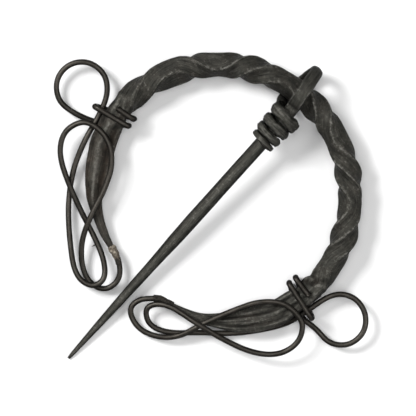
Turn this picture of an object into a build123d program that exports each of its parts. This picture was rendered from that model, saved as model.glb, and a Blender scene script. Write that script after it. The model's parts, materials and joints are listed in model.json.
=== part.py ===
import os
from math import asin, atan2, cos, degrees, pi, radians, sin, tan

from build123d import *

# Penannular brooch: an open hoop of twisted square iron bar whose two ends are forged into
# leaves, a scroll of wire brazed to each leaf tip and bound round the bar, and a long pin whose
# strap loops round the hoop. All sizes are in millimetres.

# Hoop bar
hoop_radius = 35.0
bar_size = 5.6
left_turn_angle = 70.0
right_turn_angle = 87.0
left_leaf_bend = 31.0
right_leaf_bend = 29.5
left_shoulder_length = 1.62
right_shoulder_length = 4.63

# Leaf ends
leaf_length = 38.5
leaf_width = 7.0
leaf_thickness = 2.4
neck_width = 5.5
neck_thickness = 5.2
left_tip_aside = 0.4
right_tip_aside = 0.95

# Scroll wire
wire_diameter = 1.5
wire_gap = 0.12
scroll_width = 12.0
left_scroll_gap = 1.42
right_scroll_gap = 0.56
tip_run = 2.4
left_strand_end = 4.5
right_strand_end = 3.3
strand_drop = 0.5
left_loop_radius = 6.75
right_loop_radius = 6.5
left_loop_along = 0.75
right_loop_along = -1.95
loop_standoff = 1.3
left_return_along = 5.6
right_return_along = 4.7
left_binding_slack = 0.8
right_binding_slack = 1.6
outer_binding_slack = 0.6
binding_corner_radius = 1.7

# Pin
pin_length = 93.6
shaft_diameter = 3.65
point_diameter = 0.7
taper_length = 49.3
pin_offset = 0.9
shaft_rise = 3.6
eye_clearance = 0.35
eye_reach = 7.3
eye_lean = 3.1
strap_width = 3.65
strap_thickness = 2.3
coil_start = 6.5
coil_length = 10.2
coil_gap = 0.12

# How sections are drawn: how far their corners reach as a share of a sharp corner, how many
# sections the twist and each turn of the coil have, and how much of a run its arcs may take
circle_corner = 0.5**0.5
neck_corner = 0.86
strap_corner = 0.86
coil_corner = 0.8
twist_corner = 0.93
twist_steps = 48
coil_steps = 12
arc_share = 0.45

# Far bend of each scroll, beside the pin: its place along the leaf as a share of the leaf's
# length and its distance from the leaf's middle line as a share of the scroll's width
left_bend_place = (1.185, 0.62)
right_bend_place = (1.165, 0.60)


def neck_angle(turn_angle, leaf_bend, bend_place, pin_reach, scroll_gap):
    """Where a leaf starts on the hoop, so that its scroll ends beside the pin. In degrees."""
    along, aside = bend_place
    reach = pin_reach + scroll_gap + wire_diameter / 2
    centre = (hoop_radius - leaf_bend) * sin(radians(turn_angle))
    bend_angle = 180 - degrees(asin((reach - centre) / (leaf_bend + aside * scroll_width)))
    return bend_angle - degrees(along * leaf_length / leaf_bend)


left_neck_angle = neck_angle(
    left_turn_angle,
    left_leaf_bend,
    left_bend_place,
    shaft_diameter / 2 + pin_offset,
    left_scroll_gap,
)
right_neck_angle = neck_angle(
    right_turn_angle,
    right_leaf_bend,
    right_bend_place,
    shaft_diameter / 2 - pin_offset,
    right_scroll_gap,
)
left_twist_end = left_neck_angle - degrees(left_shoulder_length / left_leaf_bend)
right_twist_end = right_neck_angle - degrees(right_shoulder_length / right_leaf_bend)

# Resting height of the hoop: the wire that passes under each neck stands on the ground, and its
# head lies in the eye of the pin
bar_half_diagonal = bar_size / 2 * 2**0.5 * twist_corner
eye_half_height = bar_half_diagonal + eye_clearance + strap_thickness / 2
head_height = eye_half_height + strap_thickness / 2
neck_height = neck_thickness / 2 + wire_gap + wire_diameter
neck_depth = -hoop_radius * cos(radians((left_neck_angle + right_neck_angle) / 2))
foot_depth = neck_depth + (left_return_along + right_return_along) / 2
hoop_tilt = degrees(atan2(head_height - neck_height, hoop_radius + foot_depth))

# Twist of the bar, from the left binding to the right one. It turns one way, then back.
# Columns: place as a share of the twisted stretch, turn of the square in degrees, and how far
# the corners reach as a share of a sharp corner
TWIST = [
    (0.000, 90, 0.86),
    (0.050, 45, 0.92),
    (0.167, -45, 0.94),
    (0.271, 68, 0.84),
    (0.360, -45, 0.94),
    (0.445, -133, 0.79),
    (0.537, -45, 0.94),
    (0.625, 60, 0.81),
    (0.716, -45, 0.94),
    (0.790, -134, 0.79),
    (0.868, -45, 0.94),
    (0.951, 46, 0.78),
    (1.000, 0, 0.86),
]

# Leaf, from the neck to the tip. Columns: place as a share of the leaf's length, width as a
# share of the leaf's, thickness as a share of the leaf's, reach of the corners, and how far the
# left and the right leaf lie outside their arcs, as shares of the leaf's width
LEAF = [
    (0.11, 0.915, 1.75, 0.84, -0.060, -0.060),
    (0.24, 1.000, 1.20, 0.82, -0.075, 0.020),
    (0.38, 0.975, 1.00, 0.80, -0.125, 0.015),
    (0.52, 0.840, 0.95, 0.80, -0.080, 0.010),
    (0.65, 0.570, 0.88, 0.78, 0.020, 0.040),
    (0.78, 0.390, 0.78, 0.76, 0.030, 0.105),
    (0.90, 0.310, 0.70, 0.74, 0.045, 0.125),
]

# Scroll wires, from the leaf tip to the binding. Columns: place along the leaf as a share of
# its length, distance from the leaf's middle line as a share of the scroll's width, outwards
# positive, and height over the hoop's plane in wire diameters
LEFT_SCROLL = [
    (1.155, 0.200, 0.00),
    (1.190, 0.460, -0.20),
    (1.165, 0.780, -0.50),
    (1.080, 0.910, -0.50),
    (0.980, 0.800, -0.20),
    (0.860, 0.530, 0.60),
    (0.730, 0.120, 1.35),
    (0.580, -0.240, 1.45),
    (0.380, -0.385, 1.60),
    (0.210, -0.160, 1.85),
    (0.155, 0.270, 1.90),
    (0.170, 0.600, 1.60),
    (0.260, 0.870, 1.10),
    (0.380, 0.840, 0.75),
    (0.530, 0.570, 0.60),
    (0.700, 0.360, 0.10),
    (0.860, 0.260, -0.40),
    (1.030, 0.310, 0.25),
    (1.130, 0.580, 0.65),
    (1.110, 0.930, 0.65),
    (1.010, 1.050, 0.30),
    (0.840, 0.790, -0.20),
    (0.650, 0.620, -0.60),
    (0.450, 0.490, -0.60),
    (0.260, 0.365, 0.00),
]
RIGHT_SCROLL = [
    (1.080, 0.130, 0.00),
    (1.165, 0.440, -0.20),
    (1.160, 0.780, -0.40),
    (1.050, 0.950, -0.40),
    (0.930, 0.810, -0.10),
    (0.840, 0.570, 0.20),
    (0.760, 0.210, 1.15),
    (0.650, -0.070, 1.40),
    (0.500, -0.285, 1.45),
    (0.330, -0.360, 1.55),
    (0.170, -0.170, 1.85),
    (0.120, 0.150, 1.90),
    (0.115, 0.500, 1.60),
    (0.190, 0.820, 1.15),
    (0.310, 0.910, 0.85),
    (0.450, 0.720, 0.85),
    (0.620, 0.385, 1.30),
    (0.760, 0.190, 2.40),
    (0.870, 0.110, 1.70),
    (0.980, 0.090, 1.15),
    (1.070, 0.240, 0.55),
    (1.100, 0.500, 0.20),
    (1.020, 0.740, -0.30),
    (0.900, 0.630, -0.75),
    (0.760, 0.380, -0.90),
    (0.550, 0.300, -1.10),
    (0.350, 0.285, -1.45),
    (0.200, 0.325, -1.35),
]

# Round loop beside each neck: heights round it, in wire diameters, at the corners of an octagon
LOOP_HEIGHTS = [-0.4, -0.4, -0.4, -0.5, -0.7, -0.9, -1.2]

# Bulge of the right loop at the same corners, as shares of its reach
RIGHT_LOOP_BULGE = [1.10, 1.05, 1.0, 1.0, 1.0, 1.0, 1.0]

# Binding turns round the neck. Columns: place along the leaf in wire diameters, side of the
# neck, 1 for the outer, and face of the neck, 1 for the front
BINDING = [
    (1.1, -1, -1),
    (1.1, -1, 1),
    (1.55, 1, 1),
    (1.55, 1, -1),
    (-0.7, -1, -1),
    (-0.7, -1, 1),
]
binding_end_along = -0.35
binding_end_aside = 0.5

# Taper of the shaft from its point. Columns: place as a share of the taper's length, and growth
# from the point's diameter to the shaft's
TAPER = [
    (0.00, 0.00),
    (0.03, 0.12),
    (0.11, 0.23),
    (0.28, 0.44),
    (0.53, 0.65),
    (0.74, 0.77),
    (0.88, 0.95),
    (1.00, 1.00),
]

# Loop of the pin's strap, from the shaft over the bar, out, and back under it. Columns: distance
# from the bar's middle as a share of the loop's reach, outwards positive, height as a share of
# the loop's half height, lean to the left as a share of the loop's lean, and thickness as a
# share of the strap's
UPPER_LIMB = [
    (-0.50, 0.760, 0.04, 1.05),
    (-0.33, 0.895, 0.10, 1.00),
    (-0.15, 0.980, 0.16, 1.00),
    (0.03, 1.000, 0.22, 1.00),
    (0.28, 0.960, 0.30, 1.00),
    (0.57, 0.820, 0.39, 1.00),
    (0.83, 0.555, 0.48, 1.00),
    (0.97, 0.230, 0.54, 1.00),
]
LOWER_LIMB = [
    (0.97, -0.230, 0.60, 1.00),
    (0.83, -0.555, 0.66, 1.00),
    (0.57, -0.820, 0.74, 1.00),
    (0.28, -0.960, 0.82, 1.00),
    (0.03, -1.000, 0.90, 1.00),
    (-0.20, -0.975, 0.98, 1.00),
    (-0.42, -0.840, 1.02, 1.03),
    (-0.61, -0.610, 1.04, 1.06),
]

# Coil of the strap round the shaft. Columns: turns since the left side, place as a share of
# the coil's length, thickness and width as shares of the strap's
COIL = [
    (-0.12, -0.030, 1.08, 0.96),
    (0.00, 0.010, 1.12, 0.94),
    (0.50, 0.110, 1.14, 0.92),
    (1.00, 0.360, 1.08, 0.74),
    (1.50, 0.430, 0.98, 0.70),
    (2.00, 0.630, 0.94, 0.64),
    (2.50, 0.720, 0.84, 0.58),
    (3.00, 0.860, 0.74, 0.46),
    (3.50, 0.930, 0.66, 0.42),
    (3.85, 0.965, 0.38, 0.28),
]


def between(table, place):
    """The row of a table at a place in its first column, by straight lines between rows."""
    if place <= table[0][0]:
        return table[0]
    for low, high in zip(table, table[1:]):
        if place <= high[0]:
            share = (place - low[0]) / (high[0] - low[0])
            return tuple(a + (b - a) * share for a, b in zip(low, high))
    return table[-1]


def section(origin, across, up, width, thickness, corner):
    """Closed wire of four arcs: width lies across, thickness lies up, corner is their reach."""
    half_width = across * (width / 2)
    half_thickness = up * (thickness / 2)
    corners = []
    for side, face in ((1, -1), (1, 1), (-1, 1), (-1, -1)):
        corners.append(origin + half_width * (side * corner) + half_thickness * (face * corner))
    middles = [origin + half_width, origin + half_thickness]
    middles += [origin - half_width, origin - half_thickness]
    arcs = []
    for number in range(4):
        start = corners[number]
        end = corners[(number + 1) % 4]
        arcs.append(Edge.make_three_point_arc(start, middles[number], end))
    return Wire(arcs)


# Hoop


def bar_point(angle):
    """Middle line of the bar at a heading, in degrees from the head, right positive."""
    heading = radians(angle)
    outward = Vector(sin(heading), cos(heading), 0)
    if angle > right_turn_angle:
        turn, bend = radians(right_turn_angle), right_leaf_bend
    elif angle < -left_turn_angle:
        turn, bend = radians(-left_turn_angle), left_leaf_bend
    else:
        turn, bend = heading, hoop_radius
    centre = Vector(sin(turn), cos(turn), 0) * (hoop_radius - bend)
    return centre + outward * bend, outward


def leaf_heading(side, along):
    """Heading of the bar at a share of the leaf's length, side 1 for the right leaf."""
    neck = right_neck_angle if side > 0 else left_neck_angle
    bend = right_leaf_bend if side > 0 else left_leaf_bend
    return side * (neck + degrees(along * leaf_length / bend))


def leaf_section(side, along, aside, width, thickness, corner):
    """One cross section of a leaf or of its neck."""
    origin, outward = bar_point(leaf_heading(side, along))
    origin += outward * aside
    return section(origin, outward, Vector(0, 0, 1), width, thickness, corner)


def tip_aside(side):
    """How far the tip of a leaf lies outside the leaf's arc."""
    return right_tip_aside if side > 0 else left_tip_aside


def make_hoop():
    """The hoop: left leaf, twisted bar and right leaf, forged from one bar."""
    sections = []
    for side in (-1, 1):
        leaf = [leaf_section(side, 0.0, 0.0, neck_width, neck_thickness, neck_corner)]
        for along, width, thickness, corner, left_aside, right_aside in LEAF:
            aside = (right_aside if side > 0 else left_aside) * leaf_width
            width *= leaf_width
            thickness *= leaf_thickness
            leaf.append(leaf_section(side, along, aside, width, thickness, corner))
        wire_end = wire_diameter, wire_diameter, circle_corner
        leaf.append(leaf_section(side, 1.0, tip_aside(side), *wire_end))
        if side < 0:
            sections += reversed(leaf)
            sections += twisted_sections()
        else:
            sections += leaf
    return Solid.make_loft(sections)


def twisted_sections():
    """Cross sections of the twisted stretch, from left to right."""
    sweep_angle = left_twist_end + right_twist_end
    sections = []
    for number in range(twist_steps + 1):
        share = number / twist_steps
        origin, outward = bar_point(-left_twist_end + sweep_angle * share)
        place, turn, corner = between(TWIST, share)
        turn = radians(turn - TWIST[0][1])
        across = outward * cos(turn) + Vector(0, 0, 1) * sin(turn)
        up = Vector(0, 0, 1) * cos(turn) - outward * sin(turn)
        sections.append(section(origin, across, up, bar_size, bar_size, corner))
    return sections


# Scroll wires


def leaf_point(side, along, aside, height):
    """A point beside a leaf: place along it as a share, and distance outwards and up in mm."""
    origin, outward = bar_point(leaf_heading(side, along))
    return origin + outward * aside + Vector(0, 0, height)


def scroll_route(side):
    """Corner points of a scroll wire from the leaf tip to its cut end, with their largest bends."""
    right = side > 0
    strand_end = right_strand_end if right else left_strand_end
    loop_radius = right_loop_radius if right else left_loop_radius
    loop_along = right_loop_along if right else left_loop_along
    return_along = right_return_along if right else left_return_along
    inner_slack = right_binding_slack if right else left_binding_slack
    step = wire_diameter + wire_gap

    tip = leaf_point(side, 1.0, tip_aside(side), 0)
    heading = radians(leaf_heading(side, 1.0))
    onwards = Vector(cos(heading), -sin(heading), 0) * side
    points = [tip, tip + onwards * tip_run]
    for along, aside, height in RIGHT_SCROLL if right else LEFT_SCROLL:
        points.append(leaf_point(side, along, aside * scroll_width, height * step))
    strand_side = neck_width / 2 + wire_gap + wire_diameter / 2
    points.append(leaf_point(side, strand_end / leaf_length, strand_side, -strand_drop))

    centre_aside = strand_side + loop_standoff + loop_radius
    centre = leaf_point(side, loop_along / leaf_length, centre_aside, 0)
    outward = bar_point(leaf_heading(side, 0))[1]
    forwards = Vector(outward.Y, -outward.X, 0) * side
    corner_turn = 45
    corner_reach = loop_radius / cos(radians(corner_turn / 2))
    first_turn = corner_turn / 2 - 180
    for number, height in enumerate(LOOP_HEIGHTS):
        turn = radians(first_turn + corner_turn * number)
        spoke = outward * cos(turn) + forwards * sin(turn)
        bulge = RIGHT_LOOP_BULGE[number] if right else 1.0
        points.append(centre + spoke * corner_reach * bulge + Vector(0, 0, height * step))
    bends = [None] * len(points)

    face_height = neck_thickness / 2 + wire_gap + wire_diameter / 2
    points.append(leaf_point(side, return_along / leaf_length, strand_side, -face_height))
    bends.append(None)
    for along, neck_side, face in BINDING:
        if neck_side > 0:
            aside = strand_side + step + outer_binding_slack
        else:
            aside = -strand_side - inner_slack
        place = along * wire_diameter / leaf_length
        points.append(leaf_point(side, place, aside, face * face_height))
        bends.append(binding_corner_radius)
    place = binding_end_along * wire_diameter / leaf_length
    points.append(leaf_point(side, place, binding_end_aside * wire_diameter, face_height))
    bends.append(None)
    return points, bends


def bent_path(points, bends):
    """A path of straight runs joined by tangent arcs, each as large as its two runs allow."""
    edges = []
    start = points[0]
    for before, corner, after, limit in zip(points, points[1:], points[2:], bends[1:]):
        arriving = corner - before
        leaving = after - corner
        turn = arriving.get_angle(leaving)
        setback = arc_share * min(arriving.length, leaving.length)
        if limit:
            setback = min(setback, limit * tan(radians(turn / 2)))
        arc_start = corner - arriving.normalized() * setback
        arc_end = corner + leaving.normalized() * setback
        edges.append(Edge.make_line(start, arc_start))
        edges.append(Edge.make_tangent_arc(arc_start, arriving, arc_end))
        start = arc_end
    edges.append(Edge.make_line(start, points[-1]))
    return edges


def make_scroll(side):
    """One scroll wire: scroll, strand along the neck, round loop and binding, in one length."""
    points, bends = scroll_route(side)
    path = Wire(bent_path(points, bends))
    profile = Plane(path @ 0, z_dir=path % 0) * Circle(wire_diameter / 2)
    return sweep(profile, path=path)


# Pin


def pin_stations():
    """Cross sections of the pin along its length, seen from the bar's middle in its eye.

    Each is a point, the way its thickness faces, its width, its thickness and its corner reach.
    """
    stations = []
    for share, growth in TAPER:
        diameter = point_diameter + (shaft_diameter - point_diameter) * growth
        point = Vector(0, share * taper_length - pin_length, shaft_rise)
        stations.append((point, Vector(0, 0, 1), diameter, diameter, circle_corner))
    coil_end = coil_start + coil_length
    for distance in (coil_end, (coil_start + coil_end) / 2, coil_start):
        point = Vector(0, -distance, shaft_rise)
        size = shaft_diameter, shaft_diameter, circle_corner
        stations.append((point, Vector(0, 0, 1), *size))
    for along, height, lean, thickness in UPPER_LIMB + LOWER_LIMB:
        point = Vector(-lean * eye_lean, along * eye_reach, height * eye_half_height)
        facing = Vector(0, point.Y, point.Z).normalized()
        size = strap_width, thickness * strap_thickness, strap_corner
        stations.append((point, facing, *size))
    first, last = COIL[0][0], COIL[-1][0]
    count = round((last - first) * coil_steps)
    for number in range(count + 1):
        turns = first + (last - first) * number / count
        turns, place, thickness, width = between(COIL, turns)
        thickness *= strap_thickness
        facing = Vector(-cos(2 * pi * turns), 0, sin(2 * pi * turns))
        axis = Vector(0, -coil_start - place * coil_length, shaft_rise)
        radius = shaft_diameter / 2 + coil_gap + thickness / 2
        size = width * strap_width, thickness, coil_corner
        stations.append((axis + facing * radius, facing, *size))
    return stations


def make_pin():
    """The pin: shaft, strap loop and coil, drawn out of one bar."""
    stations = pin_stations()
    points = [station[0] for station in stations]
    sections = []
    for number, (point, facing, width, thickness, corner) in enumerate(stations):
        before = points[max(number - 1, 0)]
        after = points[min(number + 1, len(points) - 1)]
        onwards = (after - before).normalized()
        across = onwards.cross(facing).normalized()
        up = across.cross(onwards)
        sections.append(section(point, across, up, width, thickness, corner))
    return Solid.make_loft(sections)


# Brooch as it lies


def place_hoop(shape):
    """Tilt a piece of the hoop about the neck line and lift it off the ground."""
    lift = head_height - hoop_radius * sin(radians(hoop_tilt))
    return Pos(0, 0, lift) * Rot(hoop_tilt, 0, 0) * shape


def place_pin(shape):
    """Lay the pin with its point on the ground and its eye round the bar."""
    along = (hoop_radius**2 - pin_offset**2) ** 0.5
    slope = degrees(atan2(head_height + shaft_rise - point_diameter / 2, pin_length))
    return Pos(-pin_offset, along, head_height) * Rot(slope, 0, 0) * shape


def make_brooch():
    """All pieces by name, with the origin under the middle of the whole."""
    pieces = {
        "hoop": place_hoop(make_hoop()),
        "scroll_wire_left": place_hoop(make_scroll(-1)),
        "scroll_wire_right": place_hoop(make_scroll(1)),
        "pin": place_pin(make_pin()),
    }
    box = Compound(list(pieces.values())).bounding_box()
    centre = Pos(-box.center().X, -box.center().Y, -box.min.Z)
    return {name: centre * piece for name, piece in pieces.items()}


if __name__ == "__main__":
    os.makedirs("parts", exist_ok=True)
    for name, piece in make_brooch().items():
        export_step(piece, f"parts/{name}.step")
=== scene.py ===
import json
from math import asin, atan2, cos, degrees, exp, log, pi, radians, sin, sqrt, tan

import bmesh
import bpy
from mathutils import Matrix, Vector, noise


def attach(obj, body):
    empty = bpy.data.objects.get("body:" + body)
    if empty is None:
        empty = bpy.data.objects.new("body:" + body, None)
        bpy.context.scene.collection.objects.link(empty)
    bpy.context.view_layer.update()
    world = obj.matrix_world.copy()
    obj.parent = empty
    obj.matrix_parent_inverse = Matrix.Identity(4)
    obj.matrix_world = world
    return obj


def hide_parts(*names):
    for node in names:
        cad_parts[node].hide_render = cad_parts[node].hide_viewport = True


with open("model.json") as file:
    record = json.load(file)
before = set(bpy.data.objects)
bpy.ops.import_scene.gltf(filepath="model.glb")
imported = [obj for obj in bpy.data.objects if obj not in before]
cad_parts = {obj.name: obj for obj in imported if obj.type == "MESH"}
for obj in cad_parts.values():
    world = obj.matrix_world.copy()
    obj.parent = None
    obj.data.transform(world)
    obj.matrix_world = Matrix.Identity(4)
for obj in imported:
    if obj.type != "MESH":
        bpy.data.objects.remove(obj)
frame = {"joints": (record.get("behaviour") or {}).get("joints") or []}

bl_info = {
    "name": "Penannular brooch",
    "version": (1, 0, 0),
    "blender": (4, 5, 0),
    "location": "3D View > Sidebar > Brooch",
    "description": "Forged penannular brooch: twisted hoop, wire scrolls, braze and pin",
    "category": "Add Mesh",
}

MM = 0.001
UP = Vector((0, 0, 1))

# Hoop. Headings in degrees from its head, past which the bar takes the leaf's bend, and the
# radius of that bend
LEFT_TURN_ANGLE, RIGHT_TURN_ANGLE = 70.0, 87.0
LEFT_LEAF_BEND, RIGHT_LEAF_BEND = 31.0 * MM, 29.5 * MM
# Far bend of each scroll, beside the pin: its place along the leaf and its distance from the
# leaf's middle line as shares, and its gap from the pin
LEFT_BEND_PLACE, RIGHT_BEND_PLACE = (1.185, 0.62), (1.165, 0.60)
LEFT_SCROLL_GAP, RIGHT_SCROLL_GAP = 1.42 * MM, 0.56 * MM
# Shoulder between the twist and each neck: its length, and how much the right one swells
LEFT_SHOULDER, RIGHT_SHOULDER = 1.62 * MM, 4.63 * MM
SHOULDER_SWELL = 0.75 * MM
# Reach of a section's corners as a share of a sharp one's: round, under the binding, in the eye
CIRCLE_CORNER, NECK_CORNER, EYE_CORNER = 0.5**0.5, 0.86, 0.93

# Twist of the bar, from the left binding to the right one. Columns: place as a share of the
# twisted stretch, turn of the square in degrees, and reach of its corners
TWIST = [
    (0.000, 90, 0.86),
    (0.050, 45, 0.92),
    (0.167, -45, 0.94),
    (0.271, 68, 0.84),
    (0.360, -45, 0.94),
    (0.445, -133, 0.79),
    (0.537, -45, 0.94),
    (0.625, 60, 0.81),
    (0.716, -45, 0.94),
    (0.790, -134, 0.79),
    (0.868, -45, 0.94),
    (0.951, 46, 0.78),
    (1.000, 0, 0.86),
]

# Leaf, from the neck to the tip. Columns: place as a share of the leaf's length, width and
# thickness as shares of the leaf's, reach of the corners, and how far the left and the right
# leaf lie outside their arcs, as shares of the leaf's width
LEAF = [
    (0.11, 0.915, 1.75, 0.84, -0.060, -0.060),
    (0.24, 1.000, 1.20, 0.82, -0.075, 0.020),
    (0.38, 0.975, 1.00, 0.80, -0.125, 0.015),
    (0.52, 0.840, 0.95, 0.80, -0.080, 0.010),
    (0.65, 0.570, 0.88, 0.78, 0.020, 0.040),
    (0.78, 0.390, 0.78, 0.76, 0.030, 0.105),
    (0.90, 0.310, 0.70, 0.74, 0.045, 0.125),
]

# Scroll wires, from the leaf tip to the binding. Columns: place along the leaf as a share of
# its length, distance from its middle line as a share of the scroll's width, and height over
# the hoop's plane in wire diameters
LEFT_SCROLL = [
    (1.155, 0.20, 0.0), (1.19, 0.46, -0.2), (1.165, 0.78, -0.5), (1.08, 0.91, -0.5),
    (0.98, 0.80, -0.2), (0.86, 0.53, 0.60), (0.73, 0.12, 1.35), (0.58, -0.24, 1.45),
    (0.38, -0.385, 1.6), (0.21, -0.16, 1.85), (0.155, 0.27, 1.9), (0.17, 0.60, 1.6),
    (0.26, 0.87, 1.1), (0.38, 0.84, 0.75), (0.53, 0.57, 0.6), (0.70, 0.36, 0.10),
    (0.86, 0.26, -0.40), (1.03, 0.31, 0.25), (1.13, 0.58, 0.65), (1.11, 0.93, 0.65),
    (1.01, 1.05, 0.3), (0.84, 0.79, -0.2), (0.65, 0.62, -0.6), (0.45, 0.49, -0.6),
    (0.26, 0.365, 0.0),
]  # fmt: skip
RIGHT_SCROLL = [
    (1.08, 0.13, 0.0), (1.165, 0.44, -0.2), (1.16, 0.78, -0.4), (1.05, 0.95, -0.4),
    (0.93, 0.81, -0.1), (0.84, 0.57, 0.2), (0.76, 0.21, 1.15), (0.65, -0.07, 1.4),
    (0.50, -0.285, 1.45), (0.33, -0.36, 1.55), (0.17, -0.17, 1.85), (0.12, 0.15, 1.9),
    (0.115, 0.50, 1.6), (0.19, 0.82, 1.15), (0.31, 0.91, 0.85), (0.45, 0.72, 0.85),
    (0.62, 0.385, 1.3), (0.76, 0.19, 2.40), (0.87, 0.11, 1.7), (0.98, 0.09, 1.15),
    (1.07, 0.24, 0.55), (1.10, 0.50, 0.2), (1.02, 0.74, -0.3), (0.90, 0.63, -0.75),
    (0.76, 0.38, -0.9), (0.55, 0.30, -1.1), (0.35, 0.285, -1.45), (0.20, 0.325, -1.35),
]  # fmt: skip
# Corners round each loop: heights in wire diameters, the right loop's bulge at each, and the
# first corner's place and the step between corners in degrees
LOOP_HEIGHTS = [-0.4, -0.4, -0.4, -0.5, -0.7, -0.9, -1.2]
RIGHT_LOOP_BULGE = [1.10, 1.05, 1.0, 1.0, 1.0, 1.0, 1.0]
LOOP_START, LOOP_STEP = -157.5, 45.0
# Gap beside bound wire, straight run from the tip, drop of the strand beside the neck, gap from
# there to the loop, and extra gap on the binding's outer side
WIRE_GAP, TIP_RUN, STRAND_DROP = 0.12 * MM, 2.4 * MM, 0.5 * MM
LOOP_STANDOFF, OUTER_BINDING_SLACK = 1.3 * MM, 0.6 * MM
# Bends of the binding: radius, how far a bend starts before its corner, and at most which
# share of the run that takes
BINDING_CORNER, BEND_EASE, BEND_SHARE = 1.7 * MM, 1.9, 0.46
# Ends of the wire: length of the bevel, and its thickness as a share of the wire's
CUT_BEVEL, CUT_END = 0.12 * MM, 0.86

# Binding turns round the neck. Columns: place along the leaf in wire diameters, side of the
# neck, 1 for the outer, and face of the neck, 1 for the front. The cut end lies on the front, at
# a place along the leaf and a distance outwards in wire diameters
BINDING = [(1.1, -1, -1), (1.1, -1, 1), (1.55, 1, 1), (1.55, 1, -1), (-0.7, -1, -1), (-0.7, -1, 1)]
BINDING_END = (-0.35, 0.5)

# Braze on each leaf tip. Columns: distance beyond the tip in millimetres, thickness there as a
# share of the wire's
LEFT_BRAZE = [
    (-0.75, 0.80), (-0.45, 1.22), (0.2, 1.40), (1.3, 1.36), (2.4, 1.20), (3.3, 1.10), (4.6, 1.06),
    (5.2, 0.90),
]  # fmt: skip
RIGHT_BRAZE = [
    (-1.1, 1.05), (-0.75, 1.40), (0.3, 1.32), (1.6, 1.20), (2.9, 1.16), (3.9, 1.20), (4.4, 1.26),
    (4.6, 0.95),
]  # fmt: skip
# Millimetres of each bead that are free of dark scale, and the wire's points that it follows
LEFT_BARE, RIGHT_BARE = 3.9, -1.0
BRAZE_POINTS = 5

# Burr on the left scroll: place along and aside of its foot, then of its tip, and its thickness
BURR = (0.925, 0.275, 0.931, 0.40, 0.20 * MM)

# Relief of the necks: lumps and wrinkles, the left neck's outward swell, and how far the lumps
# reach into each leaf and into the twist, as shares of their lengths
LUMP_HEIGHT, WRINKLE_HEIGHT, NECK_SWELL = 0.26 * MM, 0.20 * MM, 0.35 * MM
LEAF_LUMPS, TWIST_LUMPS = 0.16, 0.06
# Relief of the leaves: the left one's middle ridge and the right one's grooves
RIDGE_HEIGHT, GROOVE_DEPTH = 0.48 * MM, 0.20 * MM

# Twist: how flat its sides are, over which shares of its ends they turn soft, the powers that
# draw a square and its worn corners, and the width of the worn band along a corner
TWIST_CRISP, CRISP_START, CRISP_END = 0.7, 0.30, 0.04
SQUARE_POWER, WORN_POWER, WORN_BAND = 40, 34, 0.26
SHARPEST_CORNER = 0.985

# Pin. Growth of the shaft from its point to its full thickness. Columns: place and growth as
# shares
TAPER = [
    (0.00, 0.00), (0.03, 0.12), (0.11, 0.23), (0.28, 0.44),
    (0.53, 0.65), (0.74, 0.77), (0.88, 0.95), (1.00, 1.00),
]  # fmt: skip
# Strap's loop round the bar. Columns: distance from the bar's middle as a share of the loop's
# reach, height as a share of its half height, lean to the left as a share of its lean, and
# thickness as a share of the strap's
EYE = [
    (-0.50, 0.760, 0.04, 1.05), (-0.33, 0.895, 0.10, 1.00), (-0.15, 0.980, 0.16, 1.00),
    (0.03, 1.000, 0.22, 1.00), (0.28, 0.960, 0.30, 1.00), (0.57, 0.820, 0.39, 1.00),
    (0.83, 0.555, 0.48, 1.00), (0.97, 0.230, 0.54, 1.00), (0.97, -0.230, 0.60, 1.00),
    (0.83, -0.555, 0.66, 1.00), (0.57, -0.820, 0.74, 1.00), (0.28, -0.960, 0.82, 1.00),
    (0.03, -1.000, 0.90, 1.00), (-0.20, -0.975, 0.98, 1.00), (-0.42, -0.840, 1.02, 1.03),
    (-0.61, -0.610, 1.04, 1.06),
]  # fmt: skip
# Coil round the shaft. Columns: turns since the left side, place as a share of the coil's
# length, and thickness and width as shares of the strap's
COIL = [
    (-0.12, -0.03, 1.08, 0.96), (0.00, 0.01, 1.12, 0.94), (0.50, 0.11, 1.14, 0.92),
    (1.00, 0.36, 1.08, 0.74), (1.50, 0.43, 0.98, 0.70), (2.00, 0.63, 0.94, 0.64),
    (2.50, 0.72, 0.84, 0.58), (3.00, 0.86, 0.74, 0.46), (3.50, 0.93, 0.66, 0.42),
    (3.85, 0.965, 0.38, 0.28),
]  # fmt: skip
# Middle of the eye left of the head, and the shaft's middle line over the bar's
PIN_OFFSET, SHAFT_RISE = 0.9 * MM, 3.6 * MM
EYE_CLEARANCE = 0.35 * MM
COIL_START, COIL_GAP = 6.5 * MM, 0.12 * MM
# Gap left between the taper's last section and the shaft's first, and the length over which
# the hammer marks fade towards the point
TAPER_GAP, SMOOTH_TIP = 0.8 * MM, 30 * MM

# Steps along each stretch that is drawn, between the points of a route, and round each section
LEAF_STEPS, TWIST_STEPS, SHOULDER_STEPS = 110, 300, 12
BRAZE_STEPS, BURR_STEPS = 60, 10
TAPER_STEPS, SHAFT_STEPS, COIL_STEPS = 70, 60, 130
WIRE_LINE_STEPS, BRAZE_LINE_STEPS, EYE_LINE_STEPS = 9, 12, 8
HOOP_AROUND, WIRE_AROUND, BURR_AROUND, BRAZE_AROUND, PIN_AROUND = 64, 20, 12, 32, 32

# Camera, straight above the middle of the photograph
VIEW_TURN = radians(41.9)
VIEW_MIDDLE = Vector((0.13 * MM, 3.54 * MM, 6 * MM))
VIEW_WIDTH = 110.24 * MM
VIEW_DISTANCE = 2.0
SENSOR = 36.0

# Floor and lights. Ways point from the brooch to a light, the key light's before its height
FLOOR_REACH = 3.0
KEY_WAY, SIDE_WAY = Vector((-0.989, -0.149, 0)), Vector((0.75, 0.25, 0.6))
KEY_DISTANCE, TOP_DISTANCE, SIDE_DISTANCE = 1.0, 1.2, 0.4
TOP_SIZE, SIDE_SIZE = 0.6, 0.25

# Forge scale reflects little at its edges
DARK_SHEEN, DARK_GLOSS = (0.12, 0.12, 0.115), 0.3


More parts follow.
